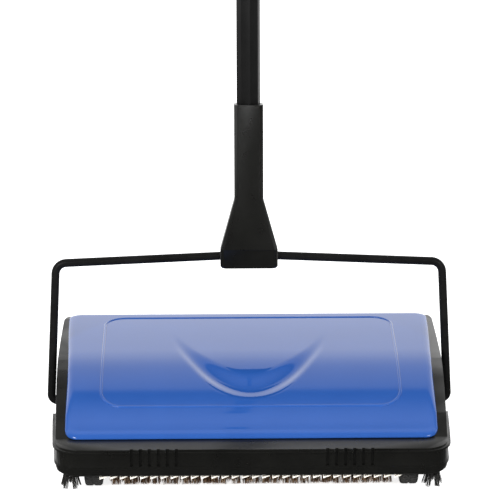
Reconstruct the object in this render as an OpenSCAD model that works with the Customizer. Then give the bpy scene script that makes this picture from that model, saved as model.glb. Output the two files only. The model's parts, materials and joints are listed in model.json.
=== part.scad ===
// Push-along carpet sweeper: a low wedge-shaped body on two rollers, a wire bail and a long handle.
// Built in the body's own frame (y = 0 at mid depth, front at -y, floor at z = 0), then moved back
// so that the origin is the middle of the whole object's footprint.

/* [Body] */
// Depth of the housing, front to back
body_depth = 195; // [190:1:200]
// Height of the rim's lower edge above the floor
rim_z = 21; // [20:0.5:22]
// Height of the front ledge
ledge_z = 42.3; // [42:0.1:43]
// Height of the flat rear part of the housing's top
top_z = 67.5; // [67:0.5:68]
// Wall thickness of the housing
wall = 2.5; // [2:0.1:2.8]
// Thickness of the blue cover
cover_wall = 2.2; // [1.8:0.1:2.2]
// How far the cover stands above the housing's cheeks
cover_rise = 2.6; // [2.5:0.1:3]

/* [Handle] */
// Angle that the handle leans back from upright
lean = 12; // [10:1:14]
// Length from the bail's pivot to the end of the grip
handle_length = 1060; // [1000:10:1100]
// Diameter of the bail's wire
wire_d = 6; // [5.5:0.1:6]
// Corner-to-corner diameter of the eight-sided tube
tube_d = 17.2; // [16.8:0.1:17.4]
// Wall thickness of the tube
tube_wall = 0.6; // [0.5:0.1:0.8]

/* [Rollers] */
// Distance of each roller's axle from mid depth
roller_y = 58; // [57:0.5:59]
// Radius of the rubber-tyred wheels
wheel_r = 23; // [22:0.5:23]
// Gap between the bristle tips and the floor
tip_gap = 0.5; // [0.4:0.1:1]
// Number of bristle rows, and of rubber blades
rows = 6; // [3:1:6]
// Turn of a bristle row from end to end, in degrees
row_twist = 150; // [90:10:180]

/* [Front grille] */
// Number of slots in each grille
slot_count = 6; // [4:1:6]
// Distance from slot to slot
slot_pitch = 6.2; // [5:0.1:6.5]
// Width of a slot
slot_w = 2.2; // [1.5:0.1:2.6]

/* [Hidden] */

half_depth = body_depth / 2;
far = 400;                 // longer than anything that it cuts
snug = 0.05;               // radial gap between a pin and its hole

// Half widths of the housing at the front, the middle and the back, at the rim and at the top
rim_widths = [136, 139.6, 136.8];
top_widths = [133.2, 137.8, 136.4];
front_corner_r = 15;
slot_x = 52.2;             // the innermost slot
slot_deep = 1.6;
mid_y = 10;                // where the housing is widest

// Profile of the housing's top, as [y, z] from the front ledge to the back
ledge_back_y = -79;
brow_y = -60;
brow_z = 52.4;
crest_y = 6;

// Cover
cover_half_w = 131.6;
cover_back_y = 94;
cover_edge_r = 7;
screw_x = 95;
cover_bosses = [[-20, 64.4], [20, 68.6]];   // depth and top of each pair of screw bosses
opening_half_w = 116;

// Bail and handle, measured along the handle from the pivot
pivot_y = 20;
pivot_z = 30;
bail_slope = 2.4;          // degrees: the legs lean in and the bar rises to its middle
bail_foot_x = 143.8;
bail_corner_x = 139.9;
bail_corner_h = 100.9;
foot_bend_r = 4.5;
bend_r = 8;
bail_end_x = 129;
bush_inner_x = 132.5;
bush_outer_x = 139.2;
bush_tube_r = 5;
socket_low = 97.3;
socket_shoulder = 110.8;
socket_neck = 147.4;
socket_top = 215.5;
socket_foot_w = 41.4;
socket_neck_w = 20.8;
socket_t = 20;
tube_insert = 40;
tube_turn = 7;
joint_h = [478, 764];      // heights of the two joints between tubes
grip_low = handle_length - 150;
hang_hole_r = 4;

// Rollers
axle_r = 2.5;
core_r = 10;
roller_half = 101;
wheel_x = 104;
wheel_w = 13;
tyre_t = 3;
web_x = 118.5;
web_t = 3;
bush_r = 4.5;
tip_r = wheel_r - tip_gap;

// Combs
comb_y = -89.8;
comb_flange_y = -94.62;

// Pans
chamber_x = 116.5;
pan_x = 115;
pan_hinge_y = 29;
pan_hinge_z = 13;
pan_barrel_r = 3.2;
pan_pin_r = 1.5;

// Corner brushes
corner_x = 126;
corner_y = 82;
corner_tuft_count = 5;
corner_tuft_length = 11.8;

// The origin is the middle of the footprint of the whole object, handle included
bead_proud = 1.4;
cap_r = 11;
back_y = pivot_y + (handle_length - 3.5) * sin(lean) + cap_r * cos(lean);
origin_y = (back_y - half_depth - bead_proud) / 2;

// ---------- helpers ----------

// Half width of the housing at a depth y, from its three widths
function half_width(y, w) = y < mid_y
    ? w[0] + (w[1] - w[0]) * sin(90 * (y + half_depth) / (mid_y + half_depth))
    : w[2] + (w[1] - w[2]) * cos(90 * (y - mid_y) / (half_depth - mid_y));

// Right-hand side of the housing's outline seen from above
function side_points(inset, w) = let(r = front_corner_r - inset, d = half_depth - inset)
    concat([for (a = [90:-10:0]) let(y = -(d - r + r * sin(a)))
                [half_width(y, w) - inset - r + r * cos(a), y]],
           [for (y = [-66:12:66]) [half_width(y, w) - inset, y]],
           [for (a = [0:10:90]) let(y = d - r + r * sin(a))
                [half_width(y, w) - inset - r + r * cos(a), y]]);

module outline(inset, w) {
    p = side_points(inset, w);
    polygon(concat(p, [for (i = [len(p) - 1:-1:0]) [-p[i][0], p[i][1]]]));
}

module slab(z, inset, w) {
    translate([0, 0, z]) linear_extrude(0.01) outline(inset, w);
}

// Points of a quarter round from angle a to angle b
function arc(c, r, a, b) =
    [for (i = [0:6]) let(t = a + (b - a) * i / 6) [c[0] + r * cos(t), c[1] + r * sin(t)]];

// Side view of the housing, as [y, z]; inset makes the matching inner surface
function side_view(inset) = concat(
    [[-far, -far]], [[-far, ledge_z - inset]],
    arc([ledge_back_y, ledge_z + 3 - inset], 3, -90, -60),
    [[brow_y, brow_z - inset], [-30, brow_z + 8.3 - inset], [-10, top_z - 1.7 - inset],
     [crest_y, top_z - inset]],
    arc([half_depth - 8, top_z - 8], 8 - inset, 90, 0),
    [[half_depth - inset, -far]]);

module across(profile) {
    rotate([90, 0, 90]) linear_extrude(far, center = true) polygon(profile);
}

// The housing's outer or inner block
module block(inset) {
    intersection() {
        hull() {
            slab(rim_z, 3.5 + inset, rim_widths);
            slab(rim_z + 2, 1 + inset, rim_widths);
            slab(rim_z + 6, inset, rim_widths);
            slab(top_z + 2, inset, top_widths);
        }
        across(side_view(inset));
    }
}

// A thin raised line round the outside of the housing
module bead(z, h, proud) {
    translate([0, 0, z]) linear_extrude(h) difference() {
        outline(-proud, rim_widths);
        outline(1.2, rim_widths);
    }
}

module both_sides() {
    children();
    mirror([1, 0, 0]) children();
}

module front_and_back() {
    children();
    mirror([0, 1, 0]) children();
}

module rod_x(x0, x1, y, z, r) {
    translate([x0, y, z]) rotate([0, 90, 0]) cylinder(r = r, h = x1 - x0, $fn = 48);
}

module box(lo, hi) {
    translate(lo) cube(hi - lo);
}

// Places a piece that was made along the handle
module on_handle() {
    translate([0, pivot_y, pivot_z]) rotate([-lean, 0, 0]) children();
}

// ---------- housing ----------

module grille_slots() {
    both_sides() for (i = [0:slot_count - 1])
        translate([slot_x + slot_pitch * i - slot_w / 2, -half_depth - 2, ledge_z - 12.5])
            cube([slot_w, 2 + slot_deep, 14]);
}

module roller_webs() {
    intersection() {
        both_sides() front_and_back()
            box([web_x, roller_y - 9, 30], [web_x + web_t, roller_y + 9, 80]);
        block(1);
    }
    both_sides() front_and_back()
        box([web_x, roller_y - 9, 14], [web_x + web_t, roller_y + 9, 31]);
}

module dust_chamber() {
    both_sides() {
        intersection() {
            box([chamber_x, -34, 30], [chamber_x + 2.5, 34, 80]);
            block(1);
        }
        box([chamber_x, -34, 8], [chamber_x + 2.5, 34, 31]);
    }
    box([-chamber_x - 1, -34, 46], [chamber_x + 1, 34, 48]);
}

module corner_plates() {
    intersection() {
        both_sides() front_and_back()
            box([118.5, 70, 26], [150, 99, 28.5]);
        block(1);
    }
}

module bail_bosses() {
    both_sides() rod_x(bush_inner_x, 138.8, pivot_y, pivot_z, 8);
}

module housing_shell() {
    difference() {
        union() {
            block(0);
            intersection() {
                union() {
                    bead(rim_z + 6.5, 1.3, 0.5);
                    bead(ledge_z - 2.6, 1.4, bead_proud);
                }
                box([-far, -far, 0], [far, -30, far]);
            }
        }
        translate([0, 0, -0.01]) block(wall);
        box([-far, -far, rim_z - 5], [far, far, rim_z]);
        box([-opening_half_w, ledge_back_y + 4, 48], [opening_half_w, 90, 90]);
        grille_slots();
    }
}

module housing() color([0.05, 0.05, 0.05]) {
    difference() {
        union() {
            housing_shell();
            roller_webs();
            dust_chamber();
            corner_plates();
            bail_bosses();
        }
        front_and_back() {
            rod_x(-130, 130, roller_y, wheel_r, bush_r + snug);
            rod_x(-130, 130, pan_hinge_y, pan_hinge_z, pan_pin_r + snug);
            both_sides() translate([corner_x, corner_y, 20])
                cylinder(r = pan_pin_r + snug, h = 12, $fn = 32);
            both_sides() translate([screw_x, 20, 40]) cylinder(r = 1.7, h = 12, $fn = 32);
        }
        both_sides() rod_x(130, 150, pivot_y, pivot_z, bush_tube_r + snug);
    }
}

// ---------- cover ----------

// Profile of the cover's top, as [y, z]
cover_line = [[-68.5, brow_z - 3.5], [brow_y + 1, brow_z + 1.2], [-30, brow_z + 8.3 + cover_rise],
              [-10, top_z - 1.7 + cover_rise], [crest_y, top_z + cover_rise],
              [cover_back_y - 4, top_z + cover_rise]];

module cover_mass(inset) {
    r = cover_edge_r - inset;
    hull() both_sides() {
        for (i = [0:len(cover_line) - 1]) {
            p = cover_line[i];
            e = i < 2 ? 3 : 0;
            translate([cover_half_w - cover_edge_r - e, min(p[0], cover_back_y - cover_edge_r),
                       p[1] - cover_edge_r]) sphere(r = r, $fn = 32);
        }
        for (y = [-73, -40]) translate([cover_half_w - cover_edge_r - (y < -60 ? 5 : 0), y, 39.5])
            sphere(r = r, $fn = 32);
        translate([cover_half_w - cover_edge_r, cover_back_y - cover_edge_r, 40])
            sphere(r = r, $fn = 32);
    }
}

module top_cover() color([0.10, 0.25, 0.70]) {
    difference() {
        cover_mass(0);
        cover_mass(cover_wall);
        // the cover ends just above the housing's ledge and cheeks
        across(side_view(-0.25));
    }
    both_sides() for (b = cover_bosses) translate([screw_x, b[0], 48.2]) difference() {
        cylinder(r = 4, h = b[1] - 48.2, $fn = 32);
        translate([0, 0, -1]) cylinder(r = 1.45, h = 12, $fn = 32);
    }
}

module cover_screws() color("silver") {
    front_and_back() both_sides() translate([screw_x, 20, 0]) {
        translate([0, 0, 44]) cylinder(r = 3, h = 1.9, $fn = 32);
        translate([0, 0, 45.9]) cylinder(r = 1.4, h = 11, $fn = 32);
    }
}

// ---------- combs ----------

module comb() {
    pitch = 7.05;
    count = 30;
    half = pitch * count / 2;
    teeth = [for (i = [0:count - 1]) let(x = -half + i * pitch)
             each [[x, 21.6], [x + 0.2, 17.3], [x + 5.4, 19.3], [x + 5.6, 21.6]]];
    translate([0, comb_y, 0]) rotate([90, 0, 0]) linear_extrude(1.4) difference() {
        polygon(concat(teeth, [[half, 27], [-half, 27]]));
        for (i = [0:count - 1]) translate([i * pitch - half, 0])
            polygon([[0.6, 18.6], [5, 20.4], [5, 21.6], [0.6, 21.6]]);
    }
    box([-half, comb_flange_y, 25.6], [half, comb_y - 1, 27]);
}

module front_comb() color("ivory") comb();
module rear_comb() color("ivory") mirror([0, 1, 0]) comb();

// ---------- bail ----------

module bail_bush() color([0.2, 0.2, 0.2]) difference() {
    union() {
        rod_x(bush_inner_x - 1, bush_outer_x, pivot_y, pivot_z, bush_tube_r);
        rod_x(bush_inner_x - 1, bush_inner_x - 0.05, pivot_y, pivot_z, 7);
    }
    rod_x(130, 150, pivot_y, pivot_z, wire_d / 2 + snug);
}

module bail_bush_right() bail_bush();
module bail_bush_left() mirror([1, 0, 0]) bail_bush();

module bend(centre, from, turn, radius, r) {
    translate([centre[0], 0, centre[1]]) rotate([90, 0, 0]) rotate([0, 0, from])
        rotate_extrude(angle = turn, $fn = 96) translate([radius, 0]) circle(r = r, $fn = 32);
}

// A straight stretch, with a ball at each end that joins it to the bend there
module wire(p, q, r) {
    d = q - p;
    translate([p[0], 0, p[1]]) rotate([0, atan2(d[0], d[1]), 0]) {
        cylinder(r = r, h = norm(d), $fn = 32);
        for (h = [0, norm(d)]) translate([0, 0, h]) sphere(r = r + 0.02, $fn = 32);
    }
}

// Half of the bail, in the plane of the handle, with the pivot's axis at height 0
module half_bail(r) {
    s = bail_slope;
    foot = [bail_foot_x - foot_bend_r * cos(s), foot_bend_r];
    head = [bail_corner_x - bend_r, bail_corner_h - bend_r];
    foot_out = foot + foot_bend_r * [cos(s), sin(s)];
    head_out = head + bend_r * [cos(s), sin(s)];
    head_in = head + bend_r * [sin(s), cos(s)];
    wire([bail_end_x + r, 0], [foot[0], 0], r);
    bend(foot, -90, 90 + s, foot_bend_r, r);
    wire(foot_out, head_out, r);
    bend(head, s, 90 - 2 * s, bend_r, r);
    wire(head_in, [0, head_in[1] + head_in[0] * tan(s)], r);
}

module bail_shape(r) {
    both_sides() half_bail(r);
}

module bail_wire() color([0.06, 0.06, 0.06]) on_handle() bail_shape(wire_d / 2);

module bail_push_nuts() color("silver") both_sides() on_handle() difference() {
    rod_x(bail_end_x + 1.2, bail_end_x + 2.4, 0, 0, 6);
    rod_x(bail_end_x, bail_end_x + 4, 0, 0, wire_d / 2 + 0.01);
}

// ---------- socket, tubes and grip ----------

// A bar with chamfered edges between two heights, with its own width at each
module chamfered(h0, w0, h1, w1, t) {
    c = 2.4;
    hull() {
        rotate([90, 0, 0]) linear_extrude(t - 2 * c, center = true)
            polygon([[-w0 / 2, h0], [w0 / 2, h0], [w1 / 2, h1], [-w1 / 2, h1]]);
        rotate([90, 0, 0]) linear_extrude(t, center = true)
            polygon([[-w0 / 2 + c, h0], [w0 / 2 - c, h0], [w1 / 2 - c, h1], [-w1 / 2 + c, h1]]);
    }
}

module octagon_rod(h0, h1, d) {
    translate([0, 0, h0]) rotate([0, 0, tube_turn]) cylinder(d = d, h = h1 - h0, $fn = 8);
}

module handle_socket() color([0.05, 0.05, 0.05]) on_handle() difference() {
    union() {
        chamfered(socket_low + 1.5, socket_foot_w, socket_shoulder, socket_foot_w, 18);
        chamfered(socket_low, socket_foot_w - 3, socket_low + 1.5, socket_foot_w, 18);
        chamfered(socket_shoulder, socket_foot_w, socket_neck, socket_neck_w, socket_t);
        chamfered(socket_neck, socket_neck_w, socket_top, socket_neck_w, socket_t);
    }
    bail_shape(wire_d / 2 + snug);
    octagon_rod(socket_top - tube_insert, socket_top + 1, tube_d + 0.2);
    translate([0, 0, socket_top - 20]) rotate([-90, 0, 0]) cylinder(r = 2.05, h = 20, $fn = 32);
}

module socket_screw() color("silver") on_handle() translate([0, 0, socket_top - 20]) rotate([-90, 0, 0]) {
    translate([0, 0, tube_d / 2 + 0.15]) cylinder(r = 2, h = 1.8, $fn = 32);
    translate([0, 0, socket_t / 2 + 0.05]) cylinder(r = 3.6, h = 2, $fn = 32);
}

module tube(h0, h1) color([0.07, 0.07, 0.07]) on_handle() difference() {
    octagon_rod(h0, h1, tube_d);
    octagon_rod(h0 - 1, h1 + 1, tube_d - 2 * tube_wall);
}

module lower_tube() tube(socket_top - tube_insert + 0.3, joint_h[0]);
module middle_tube() tube(joint_h[0] + 1.2, joint_h[1]);
module upper_tube() tube(joint_h[1] + 1.2, handle_length - 20);

module joint_plug(h) color([0.3, 0.3, 0.3]) on_handle() difference() {
    octagon_rod(h - 25, h + 26, tube_d - 2 * tube_wall - 0.2);
    octagon_rod(h - 26, h + 27, tube_d - 2 * tube_wall - 3);
}

module lower_joint_plug() joint_plug(joint_h[0]);
module upper_joint_plug() joint_plug(joint_h[1]);

module joint_collar(h) color([0.05, 0.05, 0.05]) on_handle() difference() {
    octagon_rod(h - 6, h + 8, tube_d + 2.4);
    octagon_rod(h - 7, h + 9, tube_d + 0.1);
}

module lower_joint_collar() joint_collar(joint_h[0]);
module upper_joint_collar() joint_collar(joint_h[1]);

grip_profile = [[0, 11], [3, 12.4], [20, 12.6], [60, 11.6], [100, 12.2], [128, 12.8], [134, 12.5]];

module grip() color([0.06, 0.06, 0.06]) on_handle() difference() {
    translate([0, 0, grip_low]) rotate_extrude($fn = 64)
        polygon(concat([[0, 0]], [for (p = grip_profile) [p[1], p[0]]], [[0, 134]]));
    octagon_rod(grip_low - 1, handle_length - 19.8, tube_d + 0.1);
}

module grip_end_cap() color([0.06, 0.06, 0.06]) on_handle() difference() {
    translate([0, 0, grip_low + 134.1]) rotate_extrude($fn = 64)
        polygon([[0, 0], [12.5, 0], [12.5, 7], [cap_r, 12.4], [7.5, 15.9], [0, 15.9]]);
    translate([0, 0, grip_low + 134.1 + 7.5]) rotate([90, 0, 0])
        cylinder(r = hang_hole_r, h = 40, center = true, $fn = 48);
}

// ---------- rollers ----------

// Moves a piece that was made at x from the front axle to either axle
module on_roller(side) {
    translate([0, side * roller_y, wheel_r]) children();
}

module axle() color("silver") rod_x(-123, 123, 0, 0, axle_r);

module roller_core(r) color("burlywood") difference() {
    rod_x(-roller_half, roller_half, 0, 0, r);
    rod_x(-far, far, 0, 0, axle_r + snug);
}

// Fins that wind round the core, standing on a thin sleeve
module fins(count, thick, r0, r1, twist) {
    translate([-roller_half + 1, 0, 0]) rotate([0, 90, 0])
        linear_extrude(2 * roller_half - 2, twist = twist, slices = 20) difference() {
            union() {
                circle(r = r0 + 1.1, $fn = 24);
                for (i = [0:count - 1]) rotate([0, 0, 360 * i / count])
                    translate([r0, -thick / 2]) square([r1 - r0, thick]);
            }
            circle(r = r0 + 0.35, $fn = 24);
        }
}

module wheel() color([0.1, 0.1, 0.1]) difference() {
    rod_x(wheel_x, wheel_x + wheel_w, 0, 0, wheel_r - tyre_t);
    rod_x(wheel_x - 1, wheel_x + wheel_w + 1, 0, 0, axle_r + snug);
    rod_x(wheel_x + wheel_w - 3, wheel_x + wheel_w + 1, 0, 0, 9.5);
}

module tyre() color([0.04, 0.04, 0.04]) translate([wheel_x, 0, 0]) rotate([0, 90, 0])
    rotate_extrude($fn = 96)
        polygon([[wheel_r - tyre_t, 0.3], [wheel_r - 1, 0.3], [wheel_r, 1.6],
                 [wheel_r, wheel_w - 1.6], [wheel_r - 1, wheel_w - 0.3],
                 [wheel_r - tyre_t, wheel_w - 0.3]]);

module axle_bushes() color("white") both_sides() difference() {
    union() {
        rod_x(web_x - 1, web_x + web_t, 0, 0, bush_r);
        rod_x(web_x - 1, web_x - 0.05, 0, 0, 6.5);
    }
    rod_x(web_x - 2, web_x + web_t + 1, 0, 0, axle_r + snug);
}

module front_axle() on_roller(-1) axle();
module rear_axle() on_roller(1) axle();
module front_brush_core() on_roller(-1) roller_core(core_r);
module rear_rotor_core() on_roller(1) roller_core(core_r);
module front_bristles() color([0.5, 0.36, 0.2]) on_roller(-1) fins(rows, 4, core_r, tip_r, row_twist);
module rear_blades() color([0.1, 0.1, 0.1]) on_roller(1) fins(6, 2, core_r, tip_r, 60);
module front_wheel_right() on_roller(-1) wheel();
module front_wheel_left() on_roller(-1) mirror([1, 0, 0]) wheel();
module rear_wheel_right() on_roller(1) wheel();
module rear_wheel_left() on_roller(1) mirror([1, 0, 0]) wheel();
module front_tyre_right() on_roller(-1) tyre();
module front_tyre_left() on_roller(-1) mirror([1, 0, 0]) tyre();
module rear_tyre_right() on_roller(1) tyre();
module rear_tyre_left() on_roller(1) mirror([1, 0, 0]) tyre();
module front_axle_bushes() on_roller(-1) axle_bushes();
module rear_axle_bushes() on_roller(1) axle_bushes();

// ---------- dust pans ----------

// The rear pan: a tray hinged along its outer edge
module pan() color([0.12, 0.12, 0.12]) {
    difference() {
        union() {
            box([-pan_x, 0.8, 7], [pan_x, 27, 8.5]);
            box([-pan_x, 0.8, 7], [pan_x, 2.3, 19]);
            both_sides() box([pan_x - 1.5, 0.8, 7], [pan_x, 27, 19]);
            rod_x(-pan_x + 8, pan_x - 8, pan_hinge_y, pan_hinge_z, pan_barrel_r);
            box([-pan_x + 8, 25.5, 7], [pan_x - 8, 28.5, 12]);
            // finger tab in the middle of the free edge
            box([-14, 2, 5], [14, 3.5, 8]);
        }
        rod_x(-far, far, pan_hinge_y, pan_hinge_z, pan_pin_r + snug);
    }
}

module pan_pin() color("silver") rod_x(-119, 119, pan_hinge_y, pan_hinge_z, pan_pin_r);

// Close-wound coils round each end of the pin, with one leg that presses on the pan
module pan_springs() color("silver") both_sides() translate([pan_x - 7.4, pan_hinge_y, pan_hinge_z]) {
    rotate([0, 90, 0]) rotate_extrude($fn = 32)
        for (i = [0:5]) translate([2.2, 0.4 + 0.75 * i]) circle(r = 0.4, $fn = 8);
    translate([0.4, 0, -2.2]) rotate([90, 0, 0]) cylinder(r = 0.4, h = 11, $fn = 8);
}

module rear_pan() pan();
module front_pan() mirror([0, 1, 0]) pan();
module rear_pan_pin() pan_pin();
module front_pan_pin() mirror([0, 1, 0]) pan_pin();
module rear_pan_springs() pan_springs();
module front_pan_springs() mirror([0, 1, 0]) pan_springs();

// ---------- corner brushes ----------

module at_corner(sx, sy) {
    translate([sx * corner_x, sy * corner_y, 0]) children();
}

module corner_hub() color([0.1, 0.1, 0.1]) difference() {
    union() {
        translate([0, 0, 19.5]) cylinder(r = 4.9, h = 4, $fn = 48);
        translate([0, 0, 23]) cylinder(r = 3, h = 2.6, $fn = 48);
    }
    translate([0, 0, 15]) cylinder(r = pan_pin_r + snug, h = 15, $fn = 32);
}

module corner_tufts() color([0.05, 0.05, 0.05])
    for (i = [0:corner_tuft_count - 1]) rotate([0, 0, 90 + 360 * i / corner_tuft_count])
        translate([3.6, 0, 19.6]) rotate([0, 167, 0])
            cylinder(r1 = 1.1, r2 = 1.4, h = corner_tuft_length, $fn = 16);

module corner_pin() {
    translate([0, 0, 17.8]) cylinder(r = 2.6, h = 1.2, $fn = 32);
    translate([0, 0, 18.5]) cylinder(r = pan_pin_r, h = 10, $fn = 32);
}

module corner_hub_front_left() at_corner(-1, -1) corner_hub();
module corner_hub_front_right() at_corner(1, -1) corner_hub();
module corner_hub_rear_left() at_corner(-1, 1) corner_hub();
module corner_hub_rear_right() at_corner(1, 1) corner_hub();
module corner_tufts_front_left() at_corner(-1, -1) corner_tufts();
module corner_tufts_front_right() at_corner(1, -1) corner_tufts();
module corner_tufts_rear_left() at_corner(-1, 1) corner_tufts();
module corner_tufts_rear_right() at_corner(1, 1) corner_tufts();
module corner_pins() color("silver") for (sx = [-1, 1], sy = [-1, 1]) at_corner(sx, sy) corner_pin();

// ---------- the part ----------

module in_place() {
    translate([0, -origin_y, 0]) children();
}

in_place() housing();
in_place() top_cover();
in_place() front_comb();
in_place() rear_comb();
in_place() cover_screws();
in_place() bail_bush_left();
in_place() bail_bush_right();
in_place() bail_wire();
in_place() bail_push_nuts();
in_place() handle_socket();
in_place() socket_screw();
in_place() lower_tube();
in_place() middle_tube();
in_place() upper_tube();
in_place() lower_joint_plug();
in_place() upper_joint_plug();
in_place() lower_joint_collar();
in_place() upper_joint_collar();
in_place() grip();
in_place() grip_end_cap();
in_place() front_axle();
in_place() front_brush_core();
in_place() front_bristles();
in_place() front_wheel_left();
in_place() front_wheel_right();
in_place() front_tyre_left();
in_place() front_tyre_right();
in_place() front_axle_bushes();
in_place() rear_axle();
in_place() rear_rotor_core();
in_place() rear_blades();
in_place() rear_wheel_left();
in_place() rear_wheel_right();
in_place() rear_tyre_left();
in_place() rear_tyre_right();
in_place() rear_axle_bushes();
in_place() front_pan();
in_place() rear_pan();
in_place() front_pan_pin();
in_place() rear_pan_pin();
in_place() front_pan_springs();
in_place() rear_pan_springs();
in_place() corner_hub_front_left();
in_place() corner_hub_front_right();
in_place() corner_hub_rear_left();
in_place() corner_hub_rear_right();
in_place() corner_tufts_front_left();
in_place() corner_tufts_front_right();
in_place() corner_tufts_rear_left();
in_place() corner_tufts_rear_right();
in_place() corner_pins();
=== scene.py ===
"""Looks of the carpet sweeper: glossy blue cover, moulded black body, real bristles, white studio."""
import json
import math
import random

import bpy
import numpy as np
from mathutils import Matrix, Vector


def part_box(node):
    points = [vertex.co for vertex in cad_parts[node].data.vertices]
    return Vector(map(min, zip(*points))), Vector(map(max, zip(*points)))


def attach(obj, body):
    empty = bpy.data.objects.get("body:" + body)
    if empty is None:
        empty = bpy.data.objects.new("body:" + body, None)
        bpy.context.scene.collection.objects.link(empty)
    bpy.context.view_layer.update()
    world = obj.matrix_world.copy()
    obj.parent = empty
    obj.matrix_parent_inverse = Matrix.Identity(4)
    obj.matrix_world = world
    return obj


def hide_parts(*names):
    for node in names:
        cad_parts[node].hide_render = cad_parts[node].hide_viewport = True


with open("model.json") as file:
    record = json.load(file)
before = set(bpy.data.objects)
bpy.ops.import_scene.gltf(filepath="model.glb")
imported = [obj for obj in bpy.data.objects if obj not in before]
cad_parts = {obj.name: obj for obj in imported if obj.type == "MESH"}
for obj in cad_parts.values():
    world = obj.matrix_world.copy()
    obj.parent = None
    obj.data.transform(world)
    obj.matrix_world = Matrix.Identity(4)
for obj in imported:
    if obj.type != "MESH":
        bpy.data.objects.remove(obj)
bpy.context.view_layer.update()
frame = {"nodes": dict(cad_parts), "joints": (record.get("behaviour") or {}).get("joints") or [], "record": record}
MM = 0.001


# ---------- places, from the frame ----------

def centre(node):
    """The middle of a CAD node's box."""
    lo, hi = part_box(node)
    return [(a + b) / 2 for a, b in zip(lo, hi)]


front_axle = centre("front_axle")
rear_axle = centre("rear_axle")
MID_Y = (front_axle[1] + rear_axle[1]) / 2      # mid depth of the body
pivot = next(j for j in frame["joints"] if j["name"] == "handle_tilt")["pos_m"]
LEAN = math.radians(12)                         # the handle's lean at rest
WHEEL_R = front_axle[2]


def at(x, y, z):
    """A point given in millimetres from the body's mid depth."""
    return Vector((x * MM, y * MM + MID_Y, z * MM))


# ---------- camera, lights and floor ----------

CAMERA_YAW = math.radians(-0.9)          # to the left of straight in front
CAMERA_ELEVATION = math.radians(24.0)    # of its place, seen from the body
CAMERA_PITCH = math.radians(20.1)        # how far it looks down
CAMERA_DISTANCE = 2.111
CAMERA_LENS = 209.1


def add_camera():
    """From in front, above and slightly to the left, as in the photograph."""
    cam = bpy.data.cameras.new("camera")
    cam.lens = CAMERA_LENS
    obj = bpy.data.objects.new("camera", cam)
    bpy.context.collection.objects.link(obj)
    level = math.cos(CAMERA_ELEVATION)
    away = Vector((math.sin(CAMERA_YAW) * level, -math.cos(CAMERA_YAW) * level,
                   math.sin(CAMERA_ELEVATION)))
    turn = Matrix.Rotation(CAMERA_YAW, 4, "Z") @ Matrix.Rotation(math.pi / 2 - CAMERA_PITCH, 4, "X")
    obj.matrix_world = Matrix.Translation(at(0.1, 0, 0) + away * CAMERA_DISTANCE) @ turn
    bpy.context.scene.camera = obj


# degrees from the back horizon over the top to the front and below, and brightness there
WORLD_BANDS = [(0, 1.00), (15, 1.00), (24, 0.84), (40, 0.60), (53, 0.42), (55.5, 0.06), (62, 0.12),
               (74, 0.38), (84, 0.55), (96, 0.50), (108, 0.16), (180, 0.12), (200, 0.05), (318, 0.05),
               (345, 0.80), (359, 1.00)]
WORLD_STRENGTH = 1.6


def fill_ramp(ramp, bands):
    """Sets a colour ramp from a list of (position, colour)."""
    elements = ramp.color_ramp.elements
    while len(elements) < len(bands):
        elements.new(0.5)
    for element, (position, colour) in zip(elements, bands):
        element.position = position
        element.color = (*colour, 1)


def math_node(tree, operation, *values):
    """A maths node whose inputs after the first are the values."""
    node = tree.nodes.new("ShaderNodeMath")
    node.operation = operation
    for i, value in enumerate(values):
        node.inputs[i + 1].default_value = value
    return node


def add_world():
    """White studio: a bright wall behind up to a sharp edge, a dark ceiling, a light in front."""
    world = bpy.data.worlds.new("studio")
    bpy.context.scene.world = world
    world.use_nodes = True
    tree = world.node_tree
    tree.nodes.clear()
    link = tree.links.new
    coords = tree.nodes.new("ShaderNodeTexCoord")
    split = tree.nodes.new("ShaderNodeSeparateXYZ")
    angle = math_node(tree, "ARCTAN2")
    turn = math_node(tree, "DIVIDE", math.tau)
    wrap = math_node(tree, "WRAP", 1, 0)
    ramp = tree.nodes.new("ShaderNodeValToRGB")
    back = tree.nodes.new("ShaderNodeBackground")
    out = tree.nodes.new("ShaderNodeOutputWorld")
    fill_ramp(ramp, [(degrees / 360, (level, level, level)) for degrees, level in WORLD_BANDS])
    back.inputs["Strength"].default_value = WORLD_STRENGTH
    link(coords.outputs["Generated"], split.inputs[0])
    link(split.outputs["Z"], angle.inputs[0])
    link(split.outputs["Y"], angle.inputs[1])
    link(angle.outputs[0], turn.inputs[0])
    link(turn.outputs[0], wrap.inputs[0])
    link(wrap.outputs[0], ramp.inputs[0])
    link(ramp.outputs["Color"], back.inputs["Color"])
    link(back.outputs[0], out.inputs[0])


# name, side, height, size, power in watts, and whether glossy surfaces mirror it
LIGHTS = [("key_left", -1.0, 1.15, (1.1, 0.7), 32, False),
          ("key_right", 1.1, 1.15, (1.1, 0.7), 28, False),
          ("glint_left", -1.0, 1.2, (0.9, 0.6), 16, True),
          ("glint_right", 1.1, 1.2, (0.7, 0.5), 7, True)]
LIGHT_FRONT = 1.7           # how far the lights stand in front of the body


def add_lights():
    """Soft boxes in front, aimed at the body. The keys light it without a mirror image."""
    aim = Vector((0, MID_Y, 0.05))
    for name, side, height, size, power, mirrored in LIGHTS:
        light = bpy.data.lights.new(name, "AREA")
        light.shape = "RECTANGLE"
        light.size, light.size_y = size
        light.energy = power
        obj = bpy.data.objects.new(name, light)
        bpy.context.collection.objects.link(obj)
        obj.visible_glossy = mirrored
        obj.location = (side, MID_Y - LIGHT_FRONT, height)
        obj.rotation_euler = (aim - obj.location).to_track_quat("-Z", "Y").to_euler()


FLOOR_SIZE = 160            # so that it fills low views up to the horizon
FLOOR_DROP = 0.0002         # just under the wheels
FLOOR_WHITE = 0.9
FLOOR_GLOW = 0.8


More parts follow.
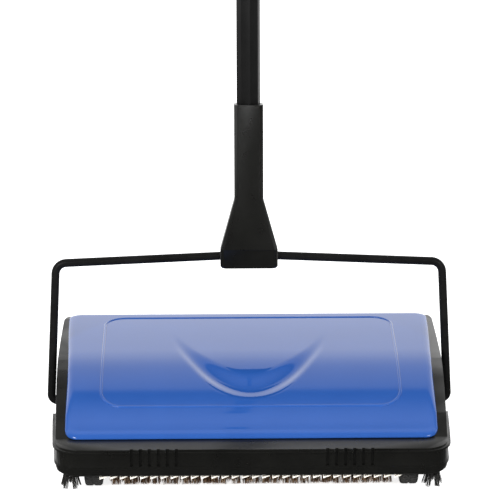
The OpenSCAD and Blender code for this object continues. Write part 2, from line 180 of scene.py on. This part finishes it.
def add_floor():
    """White paper, which glossy surfaces don't mirror."""
    bpy.ops.mesh.primitive_plane_add(size=FLOOR_SIZE, location=(0, 0, -FLOOR_DROP))
    floor = bpy.context.object
    floor.name = "floor"
    mat, _, shader = new_material("floor_white")
    shader.inputs["Base Color"].default_value = (FLOOR_WHITE, FLOOR_WHITE, FLOOR_WHITE, 1)
    shader.inputs["Roughness"].default_value = 1
    shader.inputs["Specular IOR Level"].default_value = 0
    shader.inputs["Emission Color"].default_value = (1, 1, 1, 1)
    shader.inputs["Emission Strength"].default_value = FLOOR_GLOW
    floor.data.materials.append(mat)
    floor.visible_glossy = False


# ---------- materials ----------

def new_material(name):
    """A material, its node tree and its shader."""
    mat = bpy.data.materials.new(name)
    mat.use_nodes = True
    return mat, mat.node_tree, mat.node_tree.nodes["Principled BSDF"]


def noise(tree, scale, detail=3.0, stretch=(1, 1, 1)):
    """A noise texture in metres of the object, stretched along its axes."""
    coords = tree.nodes.new("ShaderNodeTexCoord")
    mapping = tree.nodes.new("ShaderNodeMapping")
    mapping.inputs["Scale"].default_value = stretch
    texture = tree.nodes.new("ShaderNodeTexNoise")
    texture.inputs["Scale"].default_value = scale
    texture.inputs["Detail"].default_value = detail
    tree.links.new(coords.outputs["Object"], mapping.inputs["Vector"])
    tree.links.new(mapping.outputs[0], texture.inputs["Vector"])
    return texture.outputs["Fac"]


def ramp_between(tree, fac, low, high):
    """Maps a factor to a colour between low and high, with more contrast in the middle."""
    ramp = tree.nodes.new("ShaderNodeValToRGB")
    fill_ramp(ramp, [(0.3, low), (0.7, high)])
    tree.links.new(fac, ramp.inputs["Fac"])
    return ramp.outputs["Color"]


def spread(tree, fac, low, high):
    """Maps a 0 to 1 factor to a number between low and high."""
    node = tree.nodes.new("ShaderNodeMapRange")
    node.inputs["To Min"].default_value = low
    node.inputs["To Max"].default_value = high
    tree.links.new(fac, node.inputs["Value"])
    return node.outputs["Result"]


BUMP_HEIGHT = 0.0002


def add_bump(tree, shader, fac, strength):
    """Relief from a 0 to 1 factor."""
    bump = tree.nodes.new("ShaderNodeBump")
    bump.inputs["Strength"].default_value = strength
    bump.inputs["Distance"].default_value = BUMP_HEIGHT
    tree.links.new(fac, bump.inputs["Height"])
    tree.links.new(bump.outputs["Normal"], shader.inputs["Normal"])


def surface(name, low, high, rough, grain, bump, specular=0.5, metal=0.0, coat=0.0, stretch=(1, 1, 1),
            patch=35.0):
    """Colour and roughness that vary a little in patches, over a fine grain."""
    mat, tree, shader = new_material(name)
    patches = noise(tree, patch, 4, stretch)
    tree.links.new(ramp_between(tree, patches, low, high), shader.inputs["Base Color"])
    tree.links.new(spread(tree, noise(tree, patch * 4, 5, stretch), *rough), shader.inputs["Roughness"])
    shader.inputs["Specular IOR Level"].default_value = specular
    shader.inputs["Metallic"].default_value = metal
    shader.inputs["Coat Weight"].default_value = coat
    shader.inputs["Coat Roughness"].default_value = 0.05
    add_bump(tree, shader, noise(tree, grain, 2, stretch), bump)
    return mat


# share of the hairs, and their colour there
BRISTLE_TONES = [(0.0, (0.012, 0.006, 0.003)), (0.45, (0.075, 0.034, 0.013)),
                 (0.8, (0.19, 0.10, 0.045)), (1.0, (0.50, 0.38, 0.25))]
BLACK_BRISTLE_TONES = [(0.0, (0.010, 0.010, 0.010)), (1.0, (0.045, 0.043, 0.040))]


def make_materials():
    """One material for each slot: darkest and lightest colour, roughness range, grain and bump."""
    return {
        "blue_cover": surface("blue_cover", (0.015, 0.071, 0.29), (0.017, 0.076, 0.305), (0.035, 0.06),
                              900, 0.02, coat=0.3),
        "black_plastic": surface("black_plastic", (0.003, 0.003, 0.0026), (0.005, 0.005, 0.0043),
                                 (0.24, 0.34), 2600, 0.12, specular=0.32),
        "dark_nylon": surface("dark_nylon", (0.028, 0.028, 0.029), (0.036, 0.036, 0.036), (0.45, 0.6),
                              2200, 0.3, specular=0.35),
        "black_wire": surface("black_wire", (0.004, 0.004, 0.004), (0.007, 0.007, 0.007), (0.22, 0.34),
                              700, 0.2, specular=0.10),
        "black_tube": surface("black_tube", (0.005, 0.005, 0.005), (0.008, 0.008, 0.008), (0.28, 0.40),
                              900, 0.2, specular=0.09),
        "grip": surface("grip", (0.022, 0.022, 0.022), (0.030, 0.030, 0.029), (0.55, 0.7), 1800, 0.5,
                        specular=0.3),
        "tyre_rubber": surface("tyre_rubber", (0.020, 0.020, 0.020), (0.034, 0.033, 0.031), (0.6, 0.8),
                               1500, 0.5, specular=0.25),
        "blade_rubber": surface("blade_rubber", (0.025, 0.025, 0.026), (0.040, 0.039, 0.037),
                                (0.5, 0.7), 1200, 0.4, specular=0.3),
        # painted highlight: the comb's pale colour stands in for the glints on its slanted teeth
        "pale_nylon": surface("pale_nylon", (0.72, 0.68, 0.60), (0.82, 0.79, 0.72), (0.4, 0.55), 1500,
                              0.2, specular=0.4),
        "steel": surface("steel", (0.52, 0.53, 0.55), (0.66, 0.67, 0.68), (0.25, 0.40), 1400, 0.25,
                         metal=1.0, stretch=(0.1, 1, 1)),
        "core_wood": surface("core_wood", (0.42, 0.27, 0.13), (0.58, 0.40, 0.22), (0.5, 0.7), 900, 0.4,
                             specular=0.3, stretch=(0.08, 1, 1), patch=160),
        "bristle": bristle_material("bristle", BRISTLE_TONES),
        "black_bristle": bristle_material("black_bristle", BLACK_BRISTLE_TONES),
    }


def bristle_material(name, tones):
    """One tone for each hair, with darker and lighter stretches along it."""
    mat, tree, shader = new_material(name)
    island = tree.nodes.new("ShaderNodeNewGeometry")
    ramp = tree.nodes.new("ShaderNodeValToRGB")
    fill_ramp(ramp, tones)
    mix = tree.nodes.new("ShaderNodeMix")
    mix.data_type = "RGBA"
    mix.blend_type = "MULTIPLY"
    mix.inputs[0].default_value = 1
    tree.links.new(island.outputs["Random Per Island"], ramp.inputs["Fac"])
    tree.links.new(ramp.outputs["Color"], mix.inputs[6])
    shade = ramp_between(tree, noise(tree, 900, 2), (0.75, 0.72, 0.70), (1, 1, 1))
    tree.links.new(shade, mix.inputs[7])
    tree.links.new(mix.outputs[2], shader.inputs["Base Color"])
    shader.inputs["Roughness"].default_value = 0.45
    shader.inputs["Specular IOR Level"].default_value = 0.4
    return mat


# ---------- mesh helpers ----------

def make_object(name, verts, faces, slot, body, replaced, smooth=True):
    """A mesh object that rides on a body and stands for the replaced CAD nodes, if any."""
    mesh = bpy.data.meshes.new(name)
    mesh.from_pydata([tuple(v) for v in verts], [], [tuple(f) for f in faces])
    mesh.update()
    if smooth:
        mesh.shade_smooth()
    obj = bpy.data.objects.new(name, mesh)
    bpy.context.collection.objects.link(obj)
    obj.data.materials.append(materials[slot])
    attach(obj, body)
    if replaced:
        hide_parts(*replaced)
    return obj


def grid_faces(rows, cols, wrap=False, start=0):
    """Quads between the points of a grid, which may close round its columns."""
    last = cols if wrap else cols - 1
    return [(start + i * cols + j, start + i * cols + (j + 1) % cols,
             start + (i + 1) * cols + (j + 1) % cols, start + (i + 1) * cols + j)
            for i in range(rows - 1) for j in range(last)]


def ring_faces(count, n):
    """Quads round a closed path of count points with a closed section of n points at each."""
    return [(i * n + j, i * n + (j + 1) % n, (i + 1) % count * n + (j + 1) % n, (i + 1) % count * n + j)
            for i in range(count) for j in range(n)]


# ---------- cover, in millimetres from the body's mid depth ----------

COVER_HALF_W = 129.9
COVER_FRONT = -80.0
COVER_BACK = 94.0
COVER_CORNER = 9.0          # corner radius seen from above
COVER_WALL = 2.0
COVER_GRID = 1.2            # between the mesh's lines
CORNER_LINES = 12           # lines of the mesh in a rounded zone
BACK_SPREAD = 0.022         # how much wider the cover is at its back
SPREAD_START = -25          # where it begins to widen
SPREAD_LONG = 105
EDGE_W = 5.2                # width of the rounded edge
GAP = 0.3                   # above the housing
# depth, and slope of the cover's top there
SLOPES = [(-80, 0.36), (-68, 0.54), (-58, 0.43), (-45, 0.31), (-30, 0.235), (-12, 0.155), (4, 0.045),
          (16, 0.0), (60, -0.015), (94, -0.03)]
COVER_TOP = 70.1
# depth, and height of the housing's upper edge there
HOUSING_TOP = [(-99, 42.3), (-80.5, 42.3), (-77, 43.0), (-60, 52.4), (-30, 60.7), (-10, 65.8), (6, 67.5),
               (89.5, 67.5), (95, 65.8)]
DISH_FRONT = -50.5          # the foremost point of the finger recess's rim
DISH_HALF_W = 63.0          # half axes of the ellipse that the rim follows
DISH_LONG = 140.0
DISH_DEEP = 3.0
DISH_FALL = 14              # length of the wall behind the rim, at the middle
DISH_FALL_MORE = 4          # how much longer it is towards the ends
DISH_RISE = 19.0            # length of the slope from the bottom up to the cover

profile_y = np.linspace(COVER_FRONT, COVER_BACK, 400)
profile_z = np.concatenate([[0], np.cumsum(np.diff(profile_y) * np.interp(
    (profile_y[1:] + profile_y[:-1]) / 2, *zip(*SLOPES)))])
profile_z += COVER_TOP - profile_z.max()


def ease(t):
    """A smooth step from 0 to 1."""
    t = np.clip(t, 0, 1)
    return t * t * (3 - 2 * t)


def dish(x, y):
    """Depth of the finger recess: a crescent behind part of an ellipse."""
    across = np.minimum(np.abs(x) / DISH_HALF_W, 1)
    behind = y - DISH_FRONT - DISH_LONG * (1 - np.sqrt(1 - across ** 2))
    strength = (0.8 + 0.2 * ease(across / 0.4)) * ease((0.9 - across) / 0.5)
    fall = DISH_FALL + DISH_FALL_MORE * ease(across / 0.6)
    rising = ease((fall + DISH_RISE - behind) / DISH_RISE)
    return DISH_DEEP * strength * ease(behind / fall) * rising


def cover_z(x, y, inset):
    """Height of the cover at a distance inset from its outline."""
    top = np.interp(y, profile_y, profile_z) - dish(x, y)
    foot = np.interp(y, *zip(*HOUSING_TOP)) + GAP
    t = np.clip(inset / EDGE_W, 0, 1)
    return foot + (top - foot) * np.sqrt(1 - (1 - t) ** 2)


def lines(half, zone, step, zone_lines):
    """Positions of grid lines: fine in the rounded zones at both ends, even between."""
    inner = np.linspace(-(half - zone), half - zone, int(2 * (half - zone) / step))
    edge = np.sin(np.linspace(0, math.pi / 2, zone_lines + 1)[1:]) * zone + half - zone
    return np.concatenate([-edge[::-1], inner, edge])


def bend_corners(x, y, half_d):
    """Bends a grid's corners round. Gives x, y and the share of the way out to the outline."""
    s = np.clip((np.abs(x) - (COVER_HALF_W - COVER_CORNER)) / COVER_CORNER, 0, 1)
    t = np.clip((np.abs(y) - (half_d - COVER_CORNER)) / COVER_CORNER, 0, 1)
    out = np.maximum(s, t)
    corner = (s > 0) & (t > 0)
    turn = np.where(s >= t, t / np.maximum(s, 1e-9), 2 - s / np.maximum(t, 1e-9)) * math.pi / 4
    x = np.where(corner, np.sign(x) * (COVER_HALF_W - COVER_CORNER * (1 - out * np.cos(turn))), x)
    y = np.where(corner, np.sign(y) * (half_d - COVER_CORNER * (1 - out * np.sin(turn))), y)
    return x, y, out


def add_cover():
    """A grid with round corners, raised to the cover's height and thickened downwards."""
    half_d = (COVER_BACK - COVER_FRONT) / 2
    us = lines(COVER_HALF_W, COVER_CORNER, COVER_GRID, CORNER_LINES)
    vs = lines(half_d, COVER_CORNER, COVER_GRID, CORNER_LINES)
    x, y, out = bend_corners(*np.meshgrid(us, vs), half_d)
    y = y + (COVER_BACK + COVER_FRONT) / 2
    z = cover_z(x, y, COVER_CORNER * (1 - out))
    x = x * (1 + BACK_SPREAD * ease((y - SPREAD_START) / SPREAD_LONG))
    verts = [at(*p) for p in zip(x.ravel(), y.ravel(), z.ravel())]
    cover = make_object("glossy_cover", verts, grid_faces(len(vs), len(us)), "blue_cover", "housing",
                        ["top_cover"])
    solid = cover.modifiers.new("wall", "SOLIDIFY")
    solid.thickness = COVER_WALL * MM
    solid.offset = -1


PANEL_HALF_W = 105.5
PANEL_FRONT = -55.5
PANEL_BACK = 82.0
PANEL_CORNER = 15.0
PANEL_STEP = 2.0            # between the points of a straight stretch
ARC_STEPS = 12              # of each round corner
# across the line, and up from the cover
PANEL_SECTION = [(-1.3, -0.25), (-0.7, 0.42), (0, 0.72), (0.7, 0.42), (1.3, -0.25)]


def rounded_rectangle(half_w, low, high, radius):
    """Points round a rectangle with round corners, as (x, y, outward x, outward y)."""
    points = []
    corners = [(half_w - radius, high - radius, 0), (-half_w + radius, high - radius, 90),
               (-half_w + radius, low + radius, 180), (half_w - radius, low + radius, 270)]
    for i, (cx, cy, start) in enumerate(corners):
        for k in range(ARC_STEPS + 1):
            a = math.radians(start + 90 / ARC_STEPS * k)
            nx, ny = math.cos(a), math.sin(a)
            points.append((cx + radius * nx, cy + radius * ny, nx, ny))
        cx, cy, start = corners[(i + 1) % 4]
        a = math.radians(start)
        nx, ny = math.cos(a), math.sin(a)
        ex, ey = cx + radius * nx, cy + radius * ny
        sx, sy = points[-1][:2]
        count = int(math.hypot(ex - sx, ey - sy) / PANEL_STEP)
        for k in range(1, count):
            points.append((sx + (ex - sx) * k / count, sy + (ey - sy) * k / count, nx, ny))
    return points


def add_panel_line():
    """A thin raised line round the panel on the cover."""
    path = rounded_rectangle(PANEL_HALF_W, PANEL_FRONT, PANEL_BACK, PANEL_CORNER)
    verts = []
    for x, y, nx, ny in path:
        for across, up in PANEL_SECTION:
            px, py = x + nx * across, y + ny * across
            inset = min(COVER_HALF_W - abs(px), COVER_BACK - py, py - COVER_FRONT)
            verts.append(at(px, py, float(cover_z(px, py, inset)) + up))
    faces = ring_faces(len(path), len(PANEL_SECTION))
    make_object("panel_line", verts, faces, "blue_cover", "housing", [])


# ---------- bristles ----------

def add_hairs(name, hairs, radius, slot, body, replaced):
    """Each hair is a thin three-sided tapered rod through its points."""
    taper = 0.45
    verts, faces = [], []
    for points in hairs:
        first = len(verts)
        count = len(points)
        line = (points[-1] - points[0]).normalized()
        side = line.orthogonal().normalized()
        other = line.cross(side)
        for k, point in enumerate(points):
            r = radius * (1 - taper * k / (count - 1))
            for corner in range(3):
                a = corner * math.tau / 3
                verts.append(point + (side * math.cos(a) + other * math.sin(a)) * r)
        faces += grid_faces(count, 3, True, first)
        faces.append((first + 2, first + 1, first))
        last = first + 3 * (count - 1)
        faces.append((last, last + 1, last + 2))
    make_object(name, verts, faces, slot, body, replaced)


def tuft(root, direction, length, width, fan, count, rng):
    """Hairs that stand close together at the root and fan out to the tip."""
    side = direction.orthogonal().normalized()
    other = direction.cross(side)
    stray = width * 0.12
    hairs = []
    for _ in range(count):
        a = rng.uniform(0, math.tau)
        r = math.sqrt(rng.random()) * width
        offset = side * (math.cos(a) * r) + other * (math.sin(a) * r)
        out = offset * fan + side * rng.gauss(0, stray) + other * rng.gauss(0, stray)
        long = length * rng.uniform(0.92, 1.0)
        base = root + offset
        middle = base + direction * (long * 0.5) + out * 0.35
        tip = base + direction * long + out
        hairs.append([base, middle, tip])
    return hairs


BRUSH_ROWS = 12
BRUSH_HALF_L = 100 * MM
TUFT_PITCH = 7.05 * MM
TUFT_SHIFT = 0.4            # of the pitch, from the brush's end to its first tuft
TUFT_ROOT_R = 9.6 * MM      # from the roller's axis
TIP_R = WHEEL_R - 0.25 * MM
TUFT_WIDTH = 2.2 * MM
TUFT_HAIRS = 48
HAIR_R = 0.22 * MM
FAN = 0.5                   # how much wider a tuft is at its tips
ROW_TWIST = math.radians(150)


def add_brush():
    """Rows of tufts that wind round the front roller's core."""
    rng = random.Random(7)
    count = int(2 * BRUSH_HALF_L / TUFT_PITCH)
    hairs = []
    for row in range(BRUSH_ROWS):
        for i in range(count):
            x = (i + TUFT_SHIFT - count / 2) * TUFT_PITCH
            a = math.tau * row / BRUSH_ROWS + ROW_TWIST * (x + BRUSH_HALF_L) / (2 * BRUSH_HALF_L)
            out = Vector((rng.gauss(0, 0.05), math.cos(a), math.sin(a))).normalized()
            root = Vector((x, front_axle[1], WHEEL_R)) + out * TUFT_ROOT_R
            hairs += tuft(root, out, TIP_R - TUFT_ROOT_R, TUFT_WIDTH, FAN, TUFT_HAIRS, rng)
    add_hairs("brush_bristles", hairs, HAIR_R, "bristle", "front_roller", ["front_bristles"])


CORNER_BUNDLES = 5
CORNER_RING_R = 3.4 * MM    # of the circle that the bundles stand on
CORNER_ROOT_Z = 19.8 * MM
CORNER_LENGTH = 11.9 * MM
CORNER_WIDTH = 1.35 * MM
CORNER_HAIRS = 46
CORNER_HAIR_R = 0.16 * MM
CORNER_SPLAY = 0.22         # outward for each unit down


def add_corner_bristles():
    """Each corner brush has bundles that splay out and down."""
    for name in ("front_left", "front_right", "rear_left", "rear_right"):
        rng = random.Random(len(name) * 31 + ord(name[0]))
        hub = centre("corner_hub_" + name)
        hairs = []
        for i in range(CORNER_BUNDLES):
            a = math.tau * (i / CORNER_BUNDLES + 0.25)
            out = Vector((math.cos(a) * CORNER_SPLAY, math.sin(a) * CORNER_SPLAY, -1)).normalized()
            root = Vector((hub[0] + math.cos(a) * CORNER_RING_R, hub[1] + math.sin(a) * CORNER_RING_R,
                           CORNER_ROOT_Z))
            hairs += tuft(root, out, CORNER_LENGTH, CORNER_WIDTH, FAN, CORNER_HAIRS, rng)
        add_hairs("corner_bristles_" + name, hairs, CORNER_HAIR_R, "black_bristle",
                  "corner_brush_" + name, ["corner_tufts_" + name])


# ---------- tyres and grip ----------

TREAD_BLOCKS = 30
BLOCK_STEPS = 8             # mesh steps to a block and the notch before it
TREAD_NOTCH = 0.7 * MM
NOTCH_SHARE = 0.3           # of a block's pitch
TREAD_SLANT = 2.2           # blocks that a notch would run on over the whole width
# across the tyre: share of the width, depth below the tread in mm, and whether notches cut it
TYRE_SECTION = [(0.0, 3.0, 0), (0.0, 1.6, 0), (0.03, 0.8, 1), (0.10, 0.1, 1), (0.16, 0, 1),
                (0.42, 0, 1), (0.46, 0.5, 0), (0.54, 0.5, 0), (0.58, 0, 1), (0.84, 0, 1),
                (0.90, 0.1, 1), (0.97, 0.8, 1), (1.0, 1.6, 0), (1.0, 3.0, 0)]


def add_tyre(axle, body, node):
    """A tyre with slanted tread blocks round its face."""
    lo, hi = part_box(node)
    count = TREAD_BLOCKS * BLOCK_STEPS
    verts = []
    for i in range(count):
        a = math.tau * i / count
        for share, depth, cut in TYRE_SECTION:
            phase = (i / BLOCK_STEPS + abs(share - 0.5) * TREAD_SLANT) % 1
            r = WHEEL_R - depth * MM
            if cut and phase < NOTCH_SHARE:
                r -= TREAD_NOTCH
            verts.append((lo[0] + (hi[0] - lo[0]) * share, axle[1] + r * math.cos(a),
                          axle[2] + r * math.sin(a)))
    faces = ring_faces(count, len(TYRE_SECTION))
    make_object("tread_" + node, verts, faces, "tyre_rubber", body, [node], smooth=False)


def along_handle(h, a, r):
    """A point at height h along the handle, at angle a and radius r round its centre line."""
    local = Vector((r * math.cos(a), r * math.sin(a), h))
    return Matrix.Rotation(-LEAN, 3, "X") @ local + Vector(pivot)


# heights along the handle and radii, in millimetres
GRIP_LOW = 910.0
GRIP_HIGH = 1044.0
GRIP_BORE_R = 8.3
GRIP_R = 11.7
GRIP_SWELL = 0.9            # at the middle, for the palm
GRIP_FLARE = 1.1            # at the lower end
GRIP_MAX_R = 12.75
GROOVE_DEEP = 0.55
GROOVE_PITCH = 4.0
GRIP_STEPS = 268            # along it
GRIP_SIDES = 64             # round it


def grip_radius(h):
    """Outer radius of the grip at a height along the handle."""
    share = (h - GRIP_LOW) / (GRIP_HIGH - GRIP_LOW)
    r = GRIP_R + GRIP_SWELL * math.sin(math.pi * share) ** 2
    r += GRIP_FLARE * math.exp(-((h - GRIP_LOW - 3) / 3) ** 2)
    if 0.12 < share < 0.94:
        r -= GROOVE_DEEP * (0.5 - 0.5 * math.cos(math.tau * (h - GRIP_LOW) / GROOVE_PITCH)) ** 2
    return min(r, GRIP_MAX_R)


def add_grip():
    """A grip with a flared end stop, fine rings and a palm swell."""
    heights = [GRIP_LOW + (GRIP_HIGH - GRIP_LOW) * k / GRIP_STEPS for k in range(GRIP_STEPS + 1)]
    rings = [(GRIP_LOW, GRIP_BORE_R)] + [(h, grip_radius(h)) for h in heights] \
        + [(GRIP_HIGH, GRIP_BORE_R)]
    verts = [along_handle(h * MM, math.tau * j / GRIP_SIDES, r * MM)
             for h, r in rings for j in range(GRIP_SIDES)]
    make_object("ribbed_grip", verts, ring_faces(len(rings), GRIP_SIDES), "grip", "handle", ["grip"])


# ---------- CAD pieces that stay ----------

# width of the rounded edges in millimetres: the usual one, and the nodes with wider ones
EDGE = 0.2
BEVELS = {"housing": 0.8, "handle_socket": 0.9, "front_pan": 0.4, "rear_pan": 0.4, "grip_end_cap": 0.5,
          "lower_joint_collar": 0.5, "upper_joint_collar": 0.5, "front_comb": 0.25, "rear_comb": 0.25,
          "lower_tube": 0.25, "middle_tube": 0.25, "upper_tube": 0.25}


def round_edges(obj, width):
    """Bevels the sharp edges, once the points that faces share are welded."""
    weld = obj.modifiers.new("weld", "WELD")
    weld.merge_threshold = 0.00001
    bevel = obj.modifiers.new("bevel", "BEVEL")
    bevel.width = width
    bevel.segments = 2
    bevel.limit_method = "ANGLE"
    bevel.angle_limit = math.radians(32)
    bevel.harden_normals = True


def finish_cad_nodes():
    """Materials and rounded edges. The bail wire casts no mirror image on the cover."""
    slots = {part["node"]: part["material_slot"] for part in frame["record"]["subparts"]}
    for node, obj in frame["nodes"].items():
        obj.data.materials.clear()
        obj.data.materials.append(materials[slots[node]])
        obj.data.shade_smooth()
        obj.visible_glossy = node != "bail_wire"
        round_edges(obj, BEVELS.get(node, EDGE) * MM)


# ---------- scene ----------

add_camera()
add_world()
materials = make_materials()
add_floor()
add_lights()
finish_cad_nodes()
add_cover()
add_panel_line()
add_brush()
add_corner_bristles()
for place, side_axle in (("front", front_axle), ("rear", rear_axle)):
    for side in ("left", "right"):
        add_tyre(side_axle, place + "_roller", place + "_tyre_" + side)
add_grip()
bpy.context.scene.view_settings.view_transform = "Standard"
